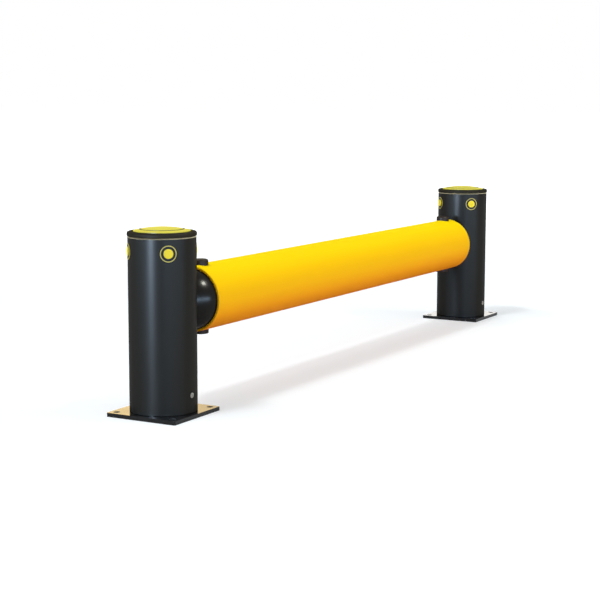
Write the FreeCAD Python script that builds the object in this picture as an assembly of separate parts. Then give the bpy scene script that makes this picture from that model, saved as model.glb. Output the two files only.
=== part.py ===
import FreeCAD, Part

import os
from math import cos, radians, sin, sqrt

# Flexible road barrier: two round polymer posts on square steel plates, joined by one thick
# polymer rail. Each rail end slides over a moulded coupling and is held by an upright pin.
# Lengths are in millimetres. X runs along the rail, Z is up, and the origin lies on the
# floor midway between the posts. The left half is modelled and then turned half round for
# the right one, because both ends of the real barrier are the same parts.

V = FreeCAD.Vector
ORIGIN = V(0, 0, 0)
ALONG_X = V(1, 0, 0)
ALONG_Y = V(0, 1, 0)
UP = V(0, 0, 1)

# Layout
post_spacing = 2200.0
rail_axis_height = 322.0

# Base plates
plate_side = 240.0
plate_thickness = 12.0
plate_corner_radius = 5.0
plate_edge_chamfer = 0.8
anchor_hole_diameter = 16.0
anchor_hole_inset = 22.0

# Posts
post_diameter = 200.0
post_wall = 12.0
post_rise_above_rail_axis = 204.0
post_top_chamfer = 3.0
post_foot_chamfer = 1.5

# Steel spigot that is welded on each plate and stands inside the post's foot
spigot_wall = 5.0
spigot_height = 100.0
spigot_clearance = 0.4
spigot_lead_chamfer = 2.0
weld_leg = 5.0
screw_boss_diameter = 22.0
screw_boss_length = 8.0

# Button-head screws that hold the post's foot to the spigot, on its front and back
screw_height = 64.5
screw_shank_diameter = 9.0
screw_head_diameter = 16.0
screw_head_height = 4.4
screw_head_round = 2.2
screw_socket_across_flats = 5.0
screw_socket_depth = 2.6
screw_seat_depth = 2.6
screw_tip_stickout = 2.0
screw_hole_clearance = 0.4
thread_clearance = 0.1

# Rail
rail_diameter = 200.0
rail_wall = 7.0
rail_gap_to_post = 50.0
rail_edge_chamfer = 1.2

# Upright pins through the rail and the coupling
pin_inset = 50.0
pin_shaft_diameter = 32.0
pin_hole_clearance = 0.5
pin_head_diameter = 50.0
pin_head_height = 16.0
pin_head_round = 6.0
retainer_head_height = 11.0
retainer_head_round = 4.0
retainer_stud_diameter = 12.0
retainer_stud_length = 40.0
retainer_socket_across_flats = 14.0
retainer_socket_depth = 6.0
seat_clearance = 0.2

# Moulded coupling: neck in the post's wall, ball-shaped bulb, ribbed sleeve in the rail
coupling_clearance = 0.6
coupling_wall = 9.0
coupling_insertion = 120.0
coupling_lead_chamfer = 5.0
neck_diameter = 112.0
neck_clearance = 0.5
neck_web_depth = 30.0
neck_core_diameter = 46.0
neck_core_floor = 10.0
pin_tube_wall = 9.0
rib_count = 8
rib_thickness = 6.0
rib_height = 15.0
rib_setback = 12.0
spine_thickness = 8.0

# Curved plate inside the post and the bolts that draw the neck against it
clamp_plate_thickness = 8.0
clamp_plate_width = 124.0
clamp_plate_height = 150.0
clamp_plate_corner_radius = 15.0
clamp_plate_clearance = 0.3
bolt_spacing_across = 32.0
bolt_spacing_up = 76.0
bolt_diameter = 12.0
bolt_length = 32.0
bolt_head_diameter = 18.0
bolt_head_height = 12.0
bolt_socket_across_flats = 10.0
bolt_socket_depth = 6.0
bolt_hole_clearance = 0.5
bolt_tip_clearance = 1.0
spot_face_margin = 0.75

# Post cap
cap_overhang = 1.7
cap_rim_height = 13.2
cap_rim_round = 6.0
cap_rim_foot_round = 2.0
cap_top_wall = 6.0
cap_skirt_depth = 56.0
cap_skirt_wall = 5.0
cap_skirt_clearance = 0.5
cap_crush_rib_count = 12
cap_crush_rib_radius = 1.6
cap_crush_rib_gap = 0.1
cap_gusset_count = 6
cap_gusset_thickness = 3.0
cap_gusset_depth = 16.0
cap_hub_diameter = 30.0

# Domed badge in the cap's recess
badge_diameter = 167.0
badge_clearance = 0.3
badge_recess_depth = 1.5
badge_edge_height = 3.5
badge_crown = 10.0
badge_wall = 3.0
badge_edge_round = 0.8
badge_ring_diameter = 128.0
badge_ring_width = 3.0
badge_ring_depth = 1.0
badge_peg_count = 3
badge_peg_circle_diameter = 96.0
badge_peg_diameter = 8.0
badge_peg_stickout = 4.0
badge_peg_clearance = 0.2

# Rings and buttons round the top of each post; the buttons' shanks hold the cap
marker_drop = 44.0
marker_count = 4
marker_first_angle = 45.0
ring_outer_diameter = 48.0
ring_inner_diameter = 43.0
ring_groove_depth = 0.8
ring_stand_out = 0.9
ring_clearance = 0.1
button_diameter = 28.0
button_stand_out = 1.6
button_round = 1.0
button_dimple_diameter = 5.0
button_dimple_depth = 0.5
button_shank_diameter = 9.0
button_shank_clearance = 0.15
button_shank_stickout = 3.0

# Radii and heights that several pieces share
post_top_height = rail_axis_height + post_rise_above_rail_axis
post_radius = post_diameter / 2
post_bore_radius = post_radius - post_wall
rail_radius = rail_diameter / 2
rail_bore_radius = rail_radius - rail_wall
coupling_radius = rail_bore_radius - coupling_clearance
neck_radius = neck_diameter / 2
spigot_radius = post_bore_radius - spigot_clearance
rail_end_distance = post_radius + rail_gap_to_post
pin_distance = rail_end_distance + pin_inset
pin_shaft_radius = pin_shaft_diameter / 2
pin_hole_radius = pin_shaft_radius + pin_hole_clearance
marker_height = post_top_height - marker_drop
cap_rim_top = post_top_height + cap_rim_height
badge_floor = cap_rim_top - badge_recess_depth
marker_angles = [marker_first_angle + 360.0 / marker_count * k for k in range(marker_count)]
left_post_axis = V(-post_spacing / 2, 0, 0)
post_length = post_top_height - plate_thickness


def cylinder(radius, length, base=ORIGIN, axis=UP):
    return Part.makeCylinder(radius, length, base, axis)


def tube(outer_radius, inner_radius, length, base=ORIGIN, axis=UP):
    outer = cylinder(outer_radius, length, base, axis)
    return outer.cut(cylinder(inner_radius, length, base, axis))


def centred_box(size_x, size_y, size_z, centre):
    corner = centre - V(size_x / 2, size_y / 2, size_z / 2)
    return Part.makeBox(size_x, size_y, size_z, corner)


def outline_face(points):
    """Flat face bounded by straight edges through the points."""
    return Part.Face(Part.makePolygon(points + [points[0]]))


def revolved(points):
    """Solid of revolution of a straight-edged half section about the upright axis."""
    return outline_face(points).revolve(ORIGIN, UP, 360)


def rounded_rectangle(width, height, radius, depth, facing):
    """Prism with rounded long edges, centred on the origin, from the YZ or XY plane."""
    centre = V(depth / 2, 0, 0) if facing == ALONG_X else V(0, 0, depth / 2)
    size = (depth, width, height) if facing == ALONG_X else (width, height, depth)
    block = centred_box(*size, centre)
    long_edges = [edge for edge in block.Edges if runs_along(edge, facing)]
    return block.makeFillet(radius, long_edges)


def runs_along(edge, direction):
    span = edge.Vertexes[-1].Point - edge.Vertexes[0].Point
    return abs(span.normalize().dot(direction)) > 0.999


def hexagon_prism(across_flats, depth, base, axis):
    """Hexagonal prism for a driver socket, built upright and then turned onto its axis."""
    corner_radius = across_flats / sqrt(3)
    corners = [
        V(corner_radius * cos(radians(60 * k)), corner_radius * sin(radians(60 * k)), 0)
        for k in range(6)
    ]
    prism = outline_face(corners).extrude(UP * depth)
    prism.Placement = FreeCAD.Placement(base, FreeCAD.Rotation(UP, axis))
    return prism


def spun(shape, angle):
    """Copy turned about the upright axis through the origin."""
    copy = shape.copy()
    copy.rotate(ORIGIN, UP, angle)
    return copy


def moved(shape, offset):
    copy = shape.copy()
    copy.translate(offset)
    return copy


def circular_edges(shape, radius, test):
    """Round edges of one radius whose centre passes the test."""
    return [
        edge for edge in shape.Edges
        if not edge.Degenerated
        and edge.Curve.TypeId == "Part::GeomCircle"
        and abs(edge.Curve.Radius - radius) < 1e-4
        and test(edge.Curve.Center)
    ]


# Pieces round one post, with the post's axis on the Z axis and the rail towards +X


def base_plate():
    half_hole_spacing = plate_side / 2 - anchor_hole_inset
    plate = rounded_rectangle(plate_side, plate_side, plate_corner_radius, plate_thickness, UP)
    top_edges = [edge for edge in plate.Edges if edge.BoundBox.ZMin > plate_thickness - 1e-6]
    plate = plate.makeChamfer(plate_edge_chamfer, top_edges)
    for side_x in (-1, 1):
        for side_y in (-1, 1):
            centre = V(side_x * half_hole_spacing, side_y * half_hole_spacing, 0)
            plate = plate.cut(cylinder(anchor_hole_diameter / 2, plate_thickness, centre))
    return plate


def screw_sides():
    """Outward directions of the two side screws."""
    return (ALONG_Y * -1, ALONG_Y)


def ground_spigot():
    inner_radius = spigot_radius - spigot_wall
    spigot = revolved([
        V(inner_radius, 0, plate_thickness + weld_leg),
        V(inner_radius - weld_leg, 0, plate_thickness),
        V(spigot_radius, 0, plate_thickness),
        V(spigot_radius, 0, plate_thickness + spigot_height - spigot_lead_chamfer),
        V(spigot_radius - spigot_lead_chamfer, 0, plate_thickness + spigot_height),
        V(inner_radius, 0, plate_thickness + spigot_height),
    ])
    boss_start = inner_radius - screw_boss_length
    for outward in screw_sides():
        base = outward * boss_start + UP * screw_height
        boss = cylinder(screw_boss_diameter / 2, screw_boss_length + spigot_wall / 2, base, outward)
        spigot = spigot.fuse(boss)
    for outward in screw_sides():
        base = outward * boss_start + UP * screw_height
        thread_radius = screw_shank_diameter / 2 + thread_clearance
        spigot = spigot.cut(cylinder(thread_radius, spigot_radius, base, outward))
    return spigot.removeSplitter()


def side_screws():
    seat = post_radius - screw_seat_depth
    tip = spigot_radius - spigot_wall - screw_boss_length - screw_tip_stickout
    screws = []
    for outward in screw_sides():
        head_base = outward * seat + UP * screw_height
        head = cylinder(screw_head_diameter / 2, screw_head_height, head_base, outward)
        rim = circular_edges(
            head, screw_head_diameter / 2,
            lambda centre: abs(centre.dot(outward) - seat - screw_head_height) < 1e-4,
        )
        head = head.makeFillet(screw_head_round, rim)
        socket_base = outward * (seat + screw_head_height - screw_socket_depth) + UP * screw_height
        socket = hexagon_prism(screw_socket_across_flats, screw_socket_depth, socket_base, outward)
        shank_base = outward * tip + UP * screw_height
        shank = cylinder(screw_shank_diameter / 2, seat - tip, shank_base, outward)
        screws.append(head.fuse(shank).removeSplitter().cut(socket))
    return Part.makeCompound(screws)


def post_shell():
    shell = revolved([
        V(post_bore_radius, 0, plate_thickness),
        V(post_radius - post_foot_chamfer, 0, plate_thickness),
        V(post_radius, 0, plate_thickness + post_foot_chamfer),
        V(post_radius, 0, post_top_height - post_top_chamfer),
        V(post_radius - post_top_chamfer, 0, post_top_height),
        V(post_bore_radius, 0, post_top_height),
    ])
    neck_hole = cylinder(
        neck_radius + neck_clearance, post_radius, UP * rail_axis_height, ALONG_X
    )
    shell = shell.cut(neck_hole)
    hole_radius = screw_shank_diameter / 2 + screw_hole_clearance
    seat_radius = screw_head_diameter / 2 + screw_hole_clearance
    for outward in screw_sides():
        centre = UP * screw_height
        hole = cylinder(hole_radius, post_radius, centre, outward)
        seat_base = centre + outward * (post_radius - screw_seat_depth)
        seat = cylinder(seat_radius, screw_seat_depth, seat_base, outward)
        shell = shell.cut(hole).cut(seat)
    for angle in marker_angles:
        shell = shell.cut(spun(marker_cutter(), angle))
    return shell


def marker_cutter():
    """Hole for a button's shank and the round groove that a ring sits in, facing +X."""
    base = UP * marker_height
    hole_radius = button_shank_diameter / 2 + button_shank_clearance
    hole = cylinder(hole_radius, post_radius, base, ALONG_X)
    groove = tube(
        ring_outer_diameter / 2 + ring_clearance, ring_inner_diameter / 2 - ring_clearance,
        post_radius, base, ALONG_X,
    )
    core = cylinder(post_radius - ring_groove_depth, post_length, UP * plate_thickness)
    return hole.fuse(groove.cut(core))


def marker_rings():
    """Rings curved to the post, each seated in its groove."""
    ring = tube(
        ring_outer_diameter / 2, ring_inner_diameter / 2,
        post_radius + ring_stand_out, UP * marker_height, ALONG_X,
    )
    band = tube(
        post_radius + ring_stand_out, post_radius - ring_groove_depth,
        ring_outer_diameter, UP * (marker_height - ring_outer_diameter / 2),
    )
    curved = ring.common(band)
    return Part.makeCompound([spun(curved, angle) for angle in marker_angles])


def marker_buttons():
    """Low round buttons with a saddle-shaped back and a shank that reaches the cap's skirt."""
    top = post_radius + button_stand_out
    radius = button_diameter / 2
    base = UP * marker_height
    back = sqrt(post_radius ** 2 - radius ** 2)
    blank = cylinder(radius, top - back, base + ALONG_X * back, ALONG_X)
    rim = circular_edges(blank, radius, lambda centre: centre.x > top - 1e-4)
    blank = blank.makeFillet(button_round, rim)
    head = blank.cut(cylinder(post_radius, post_length, UP * plate_thickness))
    dimple = cylinder(
        button_dimple_diameter / 2, button_dimple_depth,
        base + ALONG_X * (top - button_dimple_depth), ALONG_X,
    )
    tip = post_bore_radius - cap_skirt_clearance - cap_skirt_wall - button_shank_stickout
    shank_root = post_radius + button_stand_out / 2
    shank = cylinder(button_shank_diameter / 2, shank_root - tip, base + ALONG_X * tip, ALONG_X)
    button = head.fuse(shank).removeSplitter().cut(dimple)
    return Part.makeCompound([spun(button, angle) for angle in marker_angles])


def post_cap():
    rim_radius = post_radius + cap_overhang
    skirt_radius = post_bore_radius - cap_skirt_clearance
    skirt_inner_radius = skirt_radius - cap_skirt_wall
    skirt_bottom = post_top_height - cap_skirt_depth
    ceiling = badge_floor - cap_top_wall
    recess_radius = badge_diameter / 2 + badge_clearance
    cap = revolved([
        V(0, 0, ceiling),
        V(skirt_inner_radius, 0, ceiling),
        V(skirt_inner_radius, 0, skirt_bottom),
        V(skirt_radius, 0, skirt_bottom),
        V(skirt_radius, 0, post_top_height),
        V(rim_radius, 0, post_top_height),
        V(rim_radius, 0, cap_rim_top),
        V(recess_radius, 0, cap_rim_top),
        V(recess_radius, 0, badge_floor),
        V(0, 0, badge_floor),
    ])
    rim_top = circular_edges(cap, rim_radius, lambda centre: centre.z > cap_rim_top - 1e-4)
    cap = cap.makeFillet(cap_rim_round, rim_top)
    rim_foot = circular_edges(cap, rim_radius, lambda centre: centre.z < post_top_height + 1e-4)
    cap = cap.makeFillet(cap_rim_foot_round, rim_foot)
    crush_rib_centre = post_bore_radius - cap_crush_rib_gap - cap_crush_rib_radius
    crush_rib = cylinder(
        cap_crush_rib_radius, cap_skirt_depth, V(crush_rib_centre, 0, skirt_bottom)
    )
    crush_step = 360.0 / cap_crush_rib_count
    additions = [spun(crush_rib, crush_step * (k + 0.5)) for k in range(cap_crush_rib_count)]
    gusset_length = skirt_inner_radius + cap_skirt_wall / 2
    gusset = Part.makeBox(
        gusset_length, cap_gusset_thickness, cap_gusset_depth,
        V(0, -cap_gusset_thickness / 2, ceiling - cap_gusset_depth),
    )
    additions += [spun(gusset, 360.0 / cap_gusset_count * k) for k in range(cap_gusset_count)]
    additions.append(
        cylinder(cap_hub_diameter / 2, cap_gusset_depth, UP * (ceiling - cap_gusset_depth))
    )
    cap = cap.fuse(additions)
    shank_hole = cylinder(
        button_shank_diameter / 2 + button_shank_clearance, post_radius,
        UP * marker_height, ALONG_X,
    )
    cuts = [spun(shank_hole, angle) for angle in marker_angles]
    peg_hole = cylinder(
        badge_peg_diameter / 2 + badge_peg_clearance, cap_top_wall,
        V(badge_peg_circle_diameter / 2, 0, ceiling),
    )
    cuts += [spun(peg_hole, angle) for angle in badge_peg_angles()]
    return cap.cut(cuts).removeSplitter()


def badge_peg_angles():
    """Peg positions, kept midway between the cap's gussets."""
    half_gusset_step = 180.0 / cap_gusset_count
    return [half_gusset_step + 360.0 / badge_peg_count * k for k in range(badge_peg_count)]


def badge_dome(radius, edge_height, crown):
    """Disc with an upright edge and a spherical top, standing on the XY plane."""
    sphere_radius = (radius ** 2 + crown ** 2) / (2 * crown)
    centre_height = edge_height + crown - sphere_radius
    half_angle_sin = radius / 2 / sphere_radius
    mid_point = V(radius / 2, 0, centre_height + sphere_radius * sqrt(1 - half_angle_sin ** 2))
    edge_top = V(radius, 0, edge_height)
    apex = V(0, 0, edge_height + crown)
    outline = Part.Wire([
        Part.LineSegment(ORIGIN, V(radius, 0, 0)).toShape(),
        Part.LineSegment(V(radius, 0, 0), edge_top).toShape(),
        Part.Arc(edge_top, mid_point, apex).toShape(),
        Part.LineSegment(apex, ORIGIN).toShape(),
    ])
    return Part.Face(outline).revolve(ORIGIN, UP, 360)


def badge_peg(dome):
    """Peg that hangs from the dome's underside and reaches through the cap."""
    place = ALONG_X * (badge_peg_circle_diameter / 2)
    radius = badge_peg_diameter / 2
    riser = cylinder(radius, badge_edge_height + badge_crown, place).common(dome)
    tail_length = cap_top_wall + badge_peg_stickout
    return riser.fuse(cylinder(radius, tail_length, place - UP * tail_length))


def cap_badge():
    radius = badge_diameter / 2
    dome = badge_dome(radius, badge_edge_height, badge_crown)
    sunken_dome = moved(dome, UP * -badge_ring_depth)
    edge = circular_edges(dome, radius, lambda centre: centre.z > badge_edge_height - 1e-4)
    badge = dome.makeFillet(badge_edge_round, edge)
    ring_band = tube(
        (badge_ring_diameter + badge_ring_width) / 2, (badge_ring_diameter - badge_ring_width) / 2,
        badge_edge_height + badge_crown,
    )
    badge = badge.cut(ring_band.cut(sunken_dome))
    hollow = badge_dome(
        radius - badge_wall, badge_edge_height - badge_wall / 2, badge_crown - badge_wall / 2
    )
    badge = badge.cut(hollow)
    badge = badge.fuse([spun(badge_peg(sunken_dome), angle) for angle in badge_peg_angles()])
    return moved(badge.removeSplitter(), UP * badge_floor)


# Pieces round one rail end, with the rail's axis on the X axis and the post's axis on Z


def coupling():
    """Moulded coupling, drawn along the rail's axis from the post outwards."""
    sleeve_end = rail_end_distance + coupling_insertion
    bulb_centre = ALONG_X * rail_end_distance
    bulb = Part.makeSphere(coupling_radius, bulb_centre)
    sleeve = cylinder(coupling_radius, coupling_insertion, bulb_centre, ALONG_X)
    lead = circular_edges(sleeve, coupling_radius, lambda centre: centre.x > sleeve_end - 1e-4)
    sleeve = sleeve.makeChamfer(coupling_lead_chamfer, lead)
    sleeve_half = Part.makeBox(
        coupling_insertion, coupling_radius * 2, coupling_radius * 2,
        V(rail_end_distance, -coupling_radius, -coupling_radius),
    )
    post_side_cylinder = upright_cylinder(post_radius + seat_clearance)
    body = bulb.cut(sleeve_half).fuse(sleeve).cut(post_side_cylinder)
    neck = cylinder(neck_radius, rail_end_distance, ORIGIN, ALONG_X)
    body = body.fuse(neck.cut(upright_cylinder(post_bore_radius)))

    web_face = post_bore_radius + neck_web_depth
    inner_radius = coupling_radius - coupling_wall
    cavity = Part.makeSphere(inner_radius, bulb_centre).fuse(
        cylinder(inner_radius, coupling_insertion, bulb_centre, ALONG_X)
    )
    web_keep = cylinder(coupling_radius, web_face, ORIGIN, ALONG_X)
    core_start = post_bore_radius + neck_core_floor
    core = cylinder(neck_core_diameter / 2, web_face - core_start, ALONG_X * core_start, ALONG_X)
    body = body.cut(cavity.cut(web_keep)).cut(core)
    body = body.fuse(coupling_stiffeners(web_face, sleeve_end, inner_radius))

    pin_bore = cylinder(
        pin_hole_radius, coupling_radius * 2, V(pin_distance, 0, -coupling_radius)
    )
    body = body.cut(pin_bore)
    thread_radius = bolt_diameter / 2 + thread_clearance
    thread_end = bolt_tip_distance() + bolt_tip_clearance
    for y, z in bolt_places():
        body = body.cut(cylinder(thread_radius, thread_end, V(0, y, z), ALONG_X))
    return body.removeSplitter()


def coupling_stiffeners(web_face, sleeve_end, inner_radius):
    """Ribs along the sleeve, the pin's tube and the upright spine that carries it."""
    within = cylinder(inner_radius + coupling_wall / 2, sleeve_end, ORIGIN, ALONG_X)
    rib_start = web_face - coupling_wall / 2
    rib_length = sleeve_end - rib_setback - rib_start
    rib = Part.makeBox(
        rib_length, rib_thickness, rib_height + coupling_wall / 2,
        V(rib_start, -rib_thickness / 2, inner_radius - rib_height),
    )
    rib_ring = []
    for angle in rib_angles():
        turned_rib = rib.copy()
        turned_rib.rotate(ORIGIN, ALONG_X, angle)
        rib_ring.append(turned_rib)
    bulb_limit = Part.makeSphere(inner_radius + coupling_wall / 2, ALONG_X * rail_end_distance)
    sleeve_limit = cylinder(
        inner_radius + coupling_wall / 2, coupling_insertion, ALONG_X * rail_end_distance, ALONG_X
    )
    pin_tube = cylinder(
        pin_hole_radius + pin_tube_wall, coupling_radius * 2, V(pin_distance, 0, -coupling_radius)
    ).common(within)
    spine = Part.makeBox(
        pin_distance - rib_start, spine_thickness, coupling_radius * 2,
        V(rib_start, -spine_thickness / 2, -coupling_radius),
    )
    limit = bulb_limit.fuse(sleeve_limit)
    return [stiffener.common(limit) for stiffener in rib_ring + [spine]] + [pin_tube]


def rib_angles():
    """Evenly spaced round the sleeve, without the two upright places that the spine takes."""
    step = 360.0 / rib_count
    return [step * k for k in range(rib_count) if k % (rib_count // 2) != 0]


def upright_cylinder(radius):
    """Cylinder about the post's axis, taller than the rail's bore."""
    return cylinder(radius, rail_diameter * 2, UP * -rail_diameter)


def bolt_places():
    return [
        (side_y * bolt_spacing_across / 2, side_z * bolt_spacing_up / 2)
        for side_y in (-1, 1) for side_z in (-1, 1)
    ]


def clamp_plate_inner_radius():
    return post_bore_radius - clamp_plate_clearance - clamp_plate_thickness


def bolt_seat_distance():
    """Distance from the post's axis to the flat seats under the bolt heads."""
    nearest_edge = bolt_spacing_across / 2 - bolt_head_diameter / 2
    return sqrt(clamp_plate_inner_radius() ** 2 - nearest_edge ** 2)


def bolt_tip_distance():
    return bolt_seat_distance() + bolt_length


def clamp_plate():
    outline = rounded_rectangle(
        clamp_plate_width, clamp_plate_height, clamp_plate_corner_radius, post_radius, ALONG_X
    )
    shell = tube(
        post_bore_radius - clamp_plate_clearance, clamp_plate_inner_radius(),
        clamp_plate_height, UP * (-clamp_plate_height / 2),
    )
    plate = shell.common(outline)
    for y, z in bolt_places():
        hole = cylinder(bolt_diameter / 2 + bolt_hole_clearance, post_radius, V(0, y, z), ALONG_X)
        seat_radius = bolt_head_diameter / 2 + spot_face_margin
        seat = cylinder(seat_radius, bolt_seat_distance(), V(0, y, z), ALONG_X)
        plate = plate.cut(hole).cut(seat)
    return plate


def clamp_bolts():
    bolts = []
    for y, z in bolt_places():
        head_start = bolt_seat_distance() - bolt_head_height
        head = cylinder(bolt_head_diameter / 2, bolt_head_height, V(head_start, y, z), ALONG_X)
        shank = cylinder(bolt_diameter / 2, bolt_length, V(bolt_seat_distance(), y, z), ALONG_X)
        socket = hexagon_prism(
            bolt_socket_across_flats, bolt_socket_depth, V(head_start, y, z), ALONG_X
        )
        bolts.append(head.fuse(shank).cut(socket))
    return Part.makeCompound(bolts)


def rail_cylinder(radius):
    """Cylinder about the rail's axis, past the pin on both sides."""
    return cylinder(radius, pin_distance * 2, ORIGIN, ALONG_X)


def pin_head(height, edge_round):
    """Round head above the rail with a saddle-shaped underside."""
    radius = pin_head_diameter / 2
    top = rail_radius + height
    blank = cylinder(radius, top, V(pin_distance, 0, 0))
    rim = circular_edges(blank, radius, lambda centre: centre.z > top - 1e-4)
    blank = blank.makeFillet(edge_round, rim)
    return blank.cut(rail_cylinder(rail_radius + seat_clearance))


def rail_pin():
    """Upper head with a shaft down to the rail's lower face and a bore for the retainer's stud."""
    shaft_end = sqrt(rail_radius ** 2 - pin_shaft_radius ** 2)
    start = V(pin_distance, 0, -shaft_end)
    shaft = cylinder(pin_shaft_radius, shaft_end + rail_radius + pin_head_height / 2, start)
    stud_bore = cylinder(
        retainer_stud_diameter / 2 + thread_clearance, retainer_stud_length, start
    )
    return pin_head(pin_head_height, pin_head_round).fuse(shaft).removeSplitter().cut(stud_bore)


def pin_retainer():
    """Lower head, drawn above the rail and turned under it, with its stud up into the pin."""
    head = pin_head(retainer_head_height, retainer_head_round)
    head.rotate(ORIGIN, ALONG_X, 180)
    stud_start = -rail_radius - retainer_head_height / 2
    stud = cylinder(
        retainer_stud_diameter / 2, retainer_head_height / 2 + retainer_stud_length,
        V(pin_distance, 0, stud_start),
    )
    socket = hexagon_prism(
        retainer_socket_across_flats, retainer_socket_depth,
        V(pin_distance, 0, -rail_radius - retainer_head_height), UP,
    )
    return head.fuse(stud).removeSplitter().cut(socket)


def rail():
    """Straight tube with square ends, in place between the posts."""
    half_length = post_spacing / 2 - rail_end_distance
    start = V(-half_length, 0, rail_axis_height)
    body = tube(rail_radius, rail_bore_radius, half_length * 2, start, ALONG_X)
    end_edges = circular_edges(body, rail_radius, lambda centre: True)
    end_edges += circular_edges(body, rail_bore_radius, lambda centre: True)
    body = body.makeChamfer(rail_edge_chamfer, end_edges)
    pin_x = post_spacing / 2 - pin_distance
    for x in (-pin_x, pin_x):
        pin_hole = cylinder(
            pin_hole_radius, rail_diameter, V(x, 0, rail_axis_height - rail_radius)
        )
        body = body.cut(pin_hole)
    return body


def export(name, shape):
    shape.exportStep(os.path.join("parts", name + ".step"))


def export_both_ends(name, shape, height=0.0):
    """Left piece in place, and the same piece turned half round for the right post."""
    left = moved(shape, left_post_axis + UP * height)
    export("left_" + name, left)
    export("right_" + name, spun(left, 180))


os.makedirs("parts", exist_ok=True)

export("rail", rail())

export_both_ends("base_plate", base_plate())
export_both_ends("ground_spigot", ground_spigot())
export_both_ends("side_screws", side_screws())
export_both_ends("post", post_shell())
export_both_ends("marker_rings", marker_rings())
export_both_ends("marker_buttons", marker_buttons())
export_both_ends("post_cap", post_cap())
export_both_ends("cap_badge", cap_badge())

export_both_ends("coupling", coupling(), rail_axis_height)
export_both_ends("clamp_plate", clamp_plate(), rail_axis_height)
export_both_ends("clamp_bolts", clamp_bolts(), rail_axis_height)
export_both_ends("rail_pin", rail_pin(), rail_axis_height)
export_both_ends("pin_retainer", pin_retainer(), rail_axis_height)
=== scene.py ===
import math

import bpy
from mathutils import Matrix, Vector

# Looks of the flexible road barrier. Lengths are in metres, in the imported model's frame:
# X runs along the rail, Z is up, and the origin lies on the floor midway between the posts.

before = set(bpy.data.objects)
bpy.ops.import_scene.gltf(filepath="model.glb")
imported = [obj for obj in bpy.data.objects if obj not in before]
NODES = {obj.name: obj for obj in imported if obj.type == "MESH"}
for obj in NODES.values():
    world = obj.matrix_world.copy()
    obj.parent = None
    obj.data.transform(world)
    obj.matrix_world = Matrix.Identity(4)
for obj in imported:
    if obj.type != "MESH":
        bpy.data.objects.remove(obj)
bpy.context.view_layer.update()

# Places that the materials use
POST_X = 1.1
POST_TOP = 0.526
CHAMFER = 0.003
ANCHOR_HOLE_OFFSET = 0.098
ANCHOR_HOLE_EDGE = 0.0095
ANCHOR_HOLE_FADE = 0.001
ANCHOR_HOLE_ROUGHNESS = 0.40
BADGE_GROOVE_RADIUS = 0.064
BADGE_GROOVE_HALF_WIDTH = 0.0024
EDGE_SOFTNESS = 0.0003

# Most values of a noise texture lie between these two
NOISE_LOW = 0.3
NOISE_HIGH = 0.7


# Node helpers


class Tree:
    """A material or world node tree with short calls for what is used here."""

    def __init__(self, owner):
        owner.use_nodes = True
        self.tree = owner.node_tree
        self.tree.nodes.clear()

    def node(self, kind, inputs=None, **settings):
        made = self.tree.nodes.new(kind)
        for key, value in settings.items():
            setattr(made, key, value)
        for key, value in (inputs or {}).items():
            self.put(made.inputs[key], value)
        return made

    def put(self, socket, value):
        if isinstance(value, bpy.types.NodeSocket):
            self.tree.links.new(value, socket)
        elif isinstance(value, bpy.types.Node):
            self.tree.links.new(value.outputs[0], socket)
        elif socket.type == "RGBA" and len(value) == 3:
            socket.default_value = (*value, 1.0)
        else:
            socket.default_value = value

    def math(self, operation, a, b=None):
        inputs = {0: a} if b is None else {0: a, 1: b}
        return self.node("ShaderNodeMath", inputs, operation=operation).outputs[0]

    def place(self):
        return self.node("ShaderNodeTexCoord").outputs["Object"]

    def axes(self, vector):
        return self.node("ShaderNodeSeparateXYZ", {0: vector}).outputs

    def stretched(self, scale):
        return self.node("ShaderNodeMapping", {"Vector": self.place(), "Scale": scale}).outputs[0]

    def noise(self, scale, detail=2.0, roughness=0.5, stretch=(1, 1, 1)):
        made = self.node("ShaderNodeTexNoise", {
            "Vector": self.stretched(stretch), "Scale": scale, "Detail": detail,
            "Roughness": roughness,
        })
        return made.outputs["Fac"]

    def ranged(self, value, from_low, from_high, to_low, to_high, smooth=False):
        made = self.node("ShaderNodeMapRange", {
            "Value": value, "From Min": from_low, "From Max": from_high,
            "To Min": to_low, "To Max": to_high,
        })
        if smooth:
            made.interpolation_type = "SMOOTHSTEP"
        return made.outputs["Result"]

    def mixed(self, factor, a, b):
        made = self.node("ShaderNodeMix", data_type="RGBA")
        self.put(made.inputs["Factor"], factor)
        self.put(made.inputs["A"], a)
        self.put(made.inputs["B"], b)
        return made.outputs["Result"]

    def ramp(self, value, stops):
        made = self.node("ShaderNodeValToRGB", {"Fac": value})
        elements = made.color_ramp.elements
        while len(elements) < len(stops):
            elements.new(0.5)
        for element, (place, colour) in zip(elements, stops):
            element.position = place
            element.color = (*colour, 1.0)
        return made.outputs["Color"]

    def bump(self, height, distance, strength):
        inputs = {"Height": height, "Distance": distance, "Strength": strength}
        return self.node("ShaderNodeBump", inputs).outputs[0]

    def varied(self, noise, low, high):
        """A noise spread over low to high."""
        return self.ranged(noise, NOISE_LOW, NOISE_HIGH, low, high)

    def band(self, value, centre, half_width):
        """1 within half_width of centre, with a soft edge."""
        away = self.math("ABSOLUTE", self.math("SUBTRACT", value, centre))
        return self.ranged(away, half_width, half_width + EDGE_SOFTNESS, 1.0, 0.0)


def principled(name, settings):
    """A material with one Principled shader; settings gives its sockets."""
    material = bpy.data.materials.new(name)
    tree = Tree(material)
    shader = tree.node("ShaderNodeBsdfPrincipled", settings(tree))
    tree.node("ShaderNodeOutputMaterial", {"Surface": shader})
    return material


def post_axis_distance(tree):
    """Distance from the nearer post's axis, the same at both ends."""
    x, y, _ = tree.axes(tree.place())
    along = tree.math("SUBTRACT", tree.math("ABSOLUTE", x), POST_X)
    squares = tree.math("ADD", tree.math("MULTIPLY", along, along), tree.math("MULTIPLY", y, y))
    return tree.math("SQRT", squares)


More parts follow.
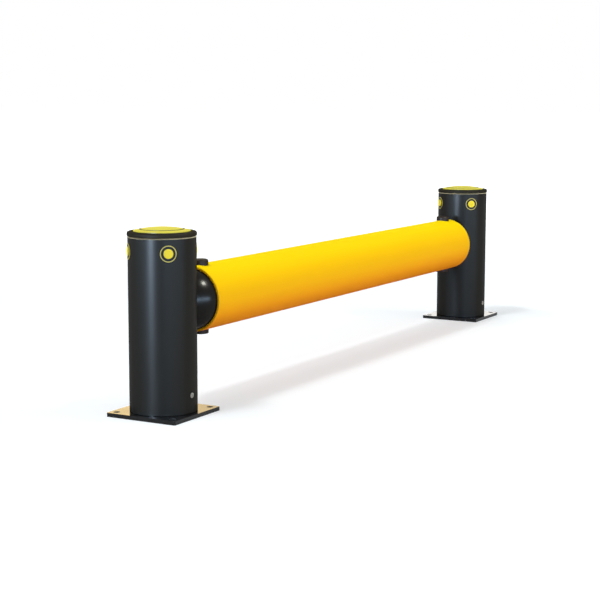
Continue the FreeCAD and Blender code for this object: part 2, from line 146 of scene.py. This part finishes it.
def anchor_hole_distance(tree):
    """Distance from the axis of the nearest hole in the base plates."""
    x, y, _ = tree.axes(tree.place())
    along = tree.math("ABSOLUTE", tree.math("SUBTRACT", tree.math("ABSOLUTE", x), POST_X))
    across = tree.math("ABSOLUTE", y)
    sides = [tree.math("SUBTRACT", side, ANCHOR_HOLE_OFFSET) for side in (along, across)]
    squares = [tree.math("MULTIPLY", side, side) for side in sides]
    return tree.math("SQRT", tree.math("ADD", *squares))


def normal_z(tree):
    geometry = tree.node("ShaderNodeNewGeometry")
    return tree.axes(geometry.outputs["Normal"])[2]


# Materials


def film(tree, normal, weight, roughness):
    """A thin glossy film over a polymer, which keeps its rims from turning pale."""
    return {
        "Specular IOR Level": 0.0,
        "Normal": normal,
        "Coat Weight": weight,
        "Coat Roughness": roughness,
        "Coat IOR": 1.5,
        "Coat Normal": normal,
    }


def rail_yellow(tree):
    """Satin extruded polymer with faint draw lines; its colour runs from lemon where it faces up
    to deeper orange where it faces down, which is painted shade.
    """
    # Painted shade: the base colour turns from lemon on upward-facing surface to deeper orange on
    # downward-facing surface.
    painted_shade_facing = tree.ranged(normal_z(tree), -1.0, 1.0, 0.0, 1.0)
    body = tree.ramp(painted_shade_facing, (
        (0.00, (0.84, 0.23, 0.016)),
        (0.26, (0.98, 0.393, 0.013)),
        (0.47, (1.00, 0.530, 0.010)),
        (0.75, (0.99, 0.610, 0.003)),
        (1.00, (0.92, 0.690, 0.002)),
    ))
    clouding = tree.varied(tree.noise(5.0, 3.0, 0.6, (0.35, 1, 1)), 0.0, 0.05)
    streaks = tree.ranged(tree.noise(26.0, 3.0, 0.6, (0.03, 1, 1)), 0.35, 0.65, 0.0, 0.08)
    colour = tree.mixed(tree.math("ADD", clouding, streaks), body, (1.0, 0.48, 0.006))
    lines = tree.noise(260.0, 2.0, 0.5, (0.02, 1, 1))
    grain = tree.noise(900.0, 2.0, 0.5)
    normal = tree.bump(tree.math("ADD", lines, tree.math("MULTIPLY", grain, 0.4)), 0.00012, 0.35)
    return {
        "Base Color": colour,
        **film(tree, normal, 0.05, tree.varied(lines, 0.36, 0.44)),
    }


def post_black(tree):
    """Black extruded polymer; the paler tan band on the chamfer at its top is a painted
    highlight.
    """
    clouding = tree.noise(9.0, 3.0, 0.6, (1, 1, 0.3))
    body = tree.mixed(clouding, (0.0140, 0.0134, 0.0116), (0.0180, 0.0172, 0.0150))
    height = tree.axes(tree.place())[2]
    # Painted highlight: a paler tan band over the top chamfer stands in for the light that the
    # edge catches.
    painted_chamfer_highlight = tree.band(height, POST_TOP - CHAMFER / 2, CHAMFER / 2 + EDGE_SOFTNESS)
    lines = tree.noise(240.0, 2.0, 0.5, (1, 1, 0.02))
    grain = tree.noise(1100.0, 2.0, 0.5)
    normal = tree.bump(tree.math("ADD", lines, tree.math("MULTIPLY", grain, 0.5)), 0.00012, 0.35)
    return {
        "Base Color": tree.mixed(painted_chamfer_highlight, body, (0.62, 0.58, 0.40)),
        **film(tree, normal, 0.13, tree.varied(clouding, 0.30, 0.34)),
    }


def cap_black(tree):
    """Moulded polymer with a fine spark-eroded grain."""
    clouding = tree.noise(14.0, 3.0, 0.6)
    grain = tree.noise(1400.0, 3.0, 0.6)
    normal = tree.bump(grain, 0.00015, 0.4)
    return {
        "Base Color": tree.mixed(clouding, (0.0230, 0.0205, 0.0135), (0.0290, 0.0260, 0.0175)),
        **film(tree, normal, 0.06, tree.varied(grain, 0.46, 0.56)),
    }


def badge_yellow(tree):
    """Lemon moulding whose ring groove is filled with black."""
    radius = post_axis_distance(tree)
    groove = tree.band(radius, BADGE_GROOVE_RADIUS, BADGE_GROOVE_HALF_WIDTH)
    clouding = tree.noise(22.0, 3.0, 0.6)
    body = tree.mixed(clouding, (0.61, 0.55, 0.025), (0.69, 0.62, 0.035))
    grain = tree.noise(900.0, 2.0, 0.5)
    return {
        "Base Color": tree.mixed(groove, body, (0.02, 0.018, 0.012)),
        **film(tree, tree.bump(grain, 0.0001, 0.25), 0.35, tree.varied(grain, 0.32, 0.40)),
    }


def plug_moulding(tree, low, high):
    """Smooth moulding of the fixing plugs, between two tones."""
    clouding = tree.noise(60.0, 3.0, 0.6)
    grain = tree.noise(1200.0, 2.0, 0.5)
    return {
        "Base Color": tree.mixed(clouding, low, high),
        **film(tree, tree.bump(grain, 0.0001, 0.25), 0.20, tree.varied(grain, 0.30, 0.40)),
    }


def button_yellow(tree):
    """Bright lemon of the buttons."""
    return plug_moulding(tree, (0.94, 0.79, 0.010), (1.0, 0.86, 0.018))


def ring_yellow(tree):
    """Paler, duller lemon of the rings round the buttons."""
    return plug_moulding(tree, (0.58, 0.54, 0.13), (0.66, 0.61, 0.16))


def coupling_black(tree):
    """Polished black moulding."""
    clouding = tree.noise(18.0, 3.0, 0.6)
    grain = tree.noise(500.0, 3.0, 0.6)
    return {
        "Base Color": tree.mixed(clouding, (0.0070, 0.0062, 0.0056), (0.0100, 0.0090, 0.0082)),
        **film(tree, tree.bump(grain, 0.0001, 0.15), 0.20, tree.varied(grain, 0.22, 0.27)),
    }


def pin_black(tree):
    """Moulded black heads, a little duller than the coupling; their warm brown tint is a painted
    reflection of the yellow rail.
    """
    clouding = tree.noise(40.0, 3.0, 0.6)
    grain = tree.noise(900.0, 3.0, 0.6)
    return {
        # Painted reflection: the warm brown tint of both tones stands in for the yellow rail
        # reflected in the heads.
        "Base Color": tree.mixed(clouding, (0.0260, 0.0190, 0.0150), (0.0340, 0.0250, 0.0200)),
        **film(tree, tree.bump(grain, 0.0001, 0.25), 0.14, tree.varied(grain, 0.30, 0.38)),
    }


def plate_black(tree):
    """Steel with a smooth black coating, dull in and round the drilled holes."""
    clouding = tree.noise(16.0, 4.0, 0.6)
    orange_peel = tree.noise(420.0, 3.0, 0.65)
    distance = anchor_hole_distance(tree)
    fade_end = ANCHOR_HOLE_EDGE + ANCHOR_HOLE_FADE
    dull = tree.ranged(distance, ANCHOR_HOLE_EDGE, fade_end, ANCHOR_HOLE_ROUGHNESS, 0.0)
    return {
        "Base Color": tree.mixed(clouding, (0.0045, 0.0045, 0.0045), (0.0075, 0.0075, 0.0075)),
        "Roughness": tree.math("ADD", tree.varied(clouding, 0.13, 0.19), dull),
        "IOR": 1.3,
        "Normal": tree.bump(orange_peel, 0.00006, 0.15),
    }


def screw_steel(tree):
    """Dull grey steel."""
    turned = tree.noise(900.0, 2.0, 0.5)
    body = tree.mixed(turned, (0.33, 0.33, 0.315), (0.41, 0.41, 0.395))
    normal = tree.bump(turned, 0.00005, 0.2)
    return {"Base Color": body, **film(tree, normal, 0.10, tree.varied(turned, 0.34, 0.44))}


def inner_steel(tree):
    """Zinc-plated steel inside the posts."""
    spangle = tree.node("ShaderNodeTexVoronoi", {"Vector": tree.place(), "Scale": 90.0})
    tone = tree.ranged(spangle.outputs["Distance"], 0.0, 0.8, 0.0, 1.0)
    return {
        "Base Color": tree.mixed(tone, (0.42, 0.42, 0.43), (0.55, 0.55, 0.56)),
        "Metallic": 1.0,
        "Roughness": tree.ranged(tone, 0.0, 1.0, 0.32, 0.45),
    }


FINISHES = {
    rail_yellow: ("rail",),
    post_black: ("post",),
    cap_black: ("post_cap",),
    badge_yellow: ("cap_badge",),
    button_yellow: ("marker_buttons",),
    ring_yellow: ("marker_rings",),
    coupling_black: ("coupling",),
    pin_black: ("rail_pin", "pin_retainer"),
    plate_black: ("base_plate",),
    screw_steel: ("side_screws",),
    inner_steel: ("ground_spigot", "clamp_plate", "clamp_bolts"),
}

for finish, families in FINISHES.items():
    material = principled(finish.__name__, finish)
    for name, piece in NODES.items():
        if name.removeprefix("left_").removeprefix("right_") in families:
            for slot in piece.material_slots:
                slot.material = material


# Floor and world: white to the camera and in reflections, plain light on the object

FLOOR_HALF = 60.0
FLOOR_DROP = 0.0003
FLOOR_GLOW = 0.43
FLOOR_GLOW_NEAR = 2.0
FLOOR_GLOW_FAR = 6.0
FLOOR_TONE = (0.575, 0.62, 0.645)
FLOOR_BOUNCE = (0.55, 0.50, 0.42)
AMBIENT = (0.97, 0.985, 1.0)
AMBIENT_LEVEL = 0.50


def seen_white(tree):
    """1 for the rays that show the white background: camera, glossy and transmission."""
    path = tree.node("ShaderNodeLightPath").outputs
    seen = tree.math("MAXIMUM", path["Is Camera Ray"], path["Is Glossy Ray"])
    return tree.math("MAXIMUM", seen, path["Is Transmission Ray"])


def floor_material():
    material = bpy.data.materials.new("floor_white")
    tree = Tree(material)
    seen = seen_white(tree)
    diffuse = tree.node(
        "ShaderNodeBsdfDiffuse", {"Color": tree.mixed(seen, FLOOR_BOUNCE, FLOOR_TONE)}
    )
    away = tree.node("ShaderNodeVectorMath", {0: tree.place()}, operation="LENGTH")
    level = tree.ranged(
        away.outputs["Value"], FLOOR_GLOW_NEAR, FLOOR_GLOW_FAR, FLOOR_GLOW, 1.0, smooth=True
    )
    glow = tree.node("ShaderNodeEmission", {"Strength": tree.math("MULTIPLY", seen, level)})
    both = tree.node("ShaderNodeAddShader", {0: diffuse, 1: glow})
    tree.node("ShaderNodeOutputMaterial", {"Surface": both})
    return material


floor_corners = [
    (x * FLOOR_HALF, y * FLOOR_HALF, -FLOOR_DROP)
    for x, y in ((-1, -1), (1, -1), (1, 1), (-1, 1))
]
floor_mesh = bpy.data.meshes.new("floor")
floor_mesh.from_pydata(floor_corners, [], [(0, 1, 2, 3)])
floor_mesh.materials.append(floor_material())
floor = bpy.data.objects.new("floor", floor_mesh)
bpy.context.scene.collection.objects.link(floor)

world = bpy.data.worlds.new("studio")
bpy.context.scene.world = world
sky = Tree(world)
ambient = sky.node("ShaderNodeBackground", {"Color": AMBIENT, "Strength": AMBIENT_LEVEL})
white = sky.node("ShaderNodeBackground", {"Color": (1, 1, 1), "Strength": 1.0})
choice = sky.node("ShaderNodeMixShader", {0: seen_white(sky), 1: ambient, 2: white})
sky.node("ShaderNodeOutputWorld", {"Surface": choice})


# Lamps, each placed by its direction in degrees and its distance from the point it aims at

MIDDLE = (0, 0, 0.3)
NEAR_POST = (-POST_X, 0, 0.45)
NEAR_PLATE = (-POST_X, 0, 0)
FAR_PLATE = (POST_X, 0, 0)


def lamp(name, azimuth, elevation, distance, width, height, power, colour=(1, 1, 1), aim=MIDDLE):
    """A rectangular lamp that the camera doesn't see."""
    light = bpy.data.lights.new(name, "AREA")
    light.shape = "RECTANGLE"
    light.size, light.size_y = width, height
    light.energy = power
    light.color = colour
    az, el = math.radians(azimuth), math.radians(elevation)
    towards = Vector((math.cos(el) * math.cos(az), math.cos(el) * math.sin(az), math.sin(el)))
    place = Vector(aim) + towards * distance
    facing = towards.to_track_quat("Z", "Y").to_matrix().to_4x4()
    body = bpy.data.objects.new(name, light)
    body.matrix_world = Matrix.Translation(place) @ facing
    body.visible_camera = False
    bpy.context.scene.collection.objects.link(body)
    return body


def gloss_lamp(*settings, **places):
    """A lamp that shows in glossy surfaces alone, as a reflector card does."""
    lamp(*settings, **places).visible_diffuse = False


lamp("key", 163, 63, 20.0, 3.33, 1.5, 1640.0)
lamp("second_key", 132, 60, 20.0, 4.0, 2.0, 478.0)
lamp("front_spot", -64, 53.5, 9.0, 0.5, 0.5, 75.0)
lamp("front_fill", -85, 7, 9.0, 4.0, 2.0, 270.0).visible_glossy = False

gloss_lamp("strip", 177.5, 4.5, 6.0, 0.95, 0.7, 1750.0, (0.62, 0.79, 1.0), aim=NEAR_POST)
gloss_lamp("front_box", 250, 4, 12.0, 16.0, 1.8, 2500.0, (0.52, 0.74, 1.0))
gloss_lamp("blue_card", 190, 5, 9.0, 20.0, 3.0, 1300.0, (0.30, 0.60, 1.0))
gloss_lamp("left_card", 150, 8, 9.0, 10.0, 3.0, 950.0, (0.58, 0.79, 1.0))
gloss_lamp("bulb_spot", -72, 53.5, 9.0, 1.4, 1.4, 1170.0, (1.0, 1.0, 0.86))
gloss_lamp("warm_card", 36.5, 12.5, 9.0, 1.8, 1.4, 14.5, (1.0, 0.60, 0.03), aim=NEAR_PLATE)
gloss_lamp("warm_card_side", 40.2, 12.5, 9.0, 1.8, 1.4, 6.0, (1.0, 0.72, 0.25), aim=NEAR_PLATE)
gloss_lamp("far_card", 23, 9.0, 9.0, 2.0, 1.4, 13.5, (1.0, 0.96, 0.88), aim=FAR_PLATE)


# Camera at the photograph's viewing angle

CAMERA_PLACE = Vector((-4.6309, -2.4428, 0.9381))
CAMERA_YAW = 0.5119
CAMERA_PITCH = -0.1395
CAMERA_ROLL = 0.0021
CAMERA_LENS = 88.95
CAMERA_SENSOR = 36.0
CAMERA_REACH = 500.0

forward = Vector((
    math.cos(CAMERA_PITCH) * math.cos(CAMERA_YAW),
    math.cos(CAMERA_PITCH) * math.sin(CAMERA_YAW),
    math.sin(CAMERA_PITCH),
))
level_right = Vector((math.sin(CAMERA_YAW), -math.cos(CAMERA_YAW), 0))
level_up = level_right.cross(forward)
right = level_right * math.cos(CAMERA_ROLL) + level_up * math.sin(CAMERA_ROLL)
up = level_up * math.cos(CAMERA_ROLL) - level_right * math.sin(CAMERA_ROLL)

camera_data = bpy.data.cameras.new("camera")
camera_data.lens = CAMERA_LENS
camera_data.sensor_width = CAMERA_SENSOR
camera_data.clip_end = CAMERA_REACH
camera = bpy.data.objects.new("camera", camera_data)
turn = Matrix((right, up, -forward)).transposed().to_4x4()
camera.matrix_world = Matrix.Translation(CAMERA_PLACE) @ turn
bpy.context.scene.collection.objects.link(camera)
bpy.context.scene.camera = camera
bpy.context.scene.view_settings.view_transform = "Standard"
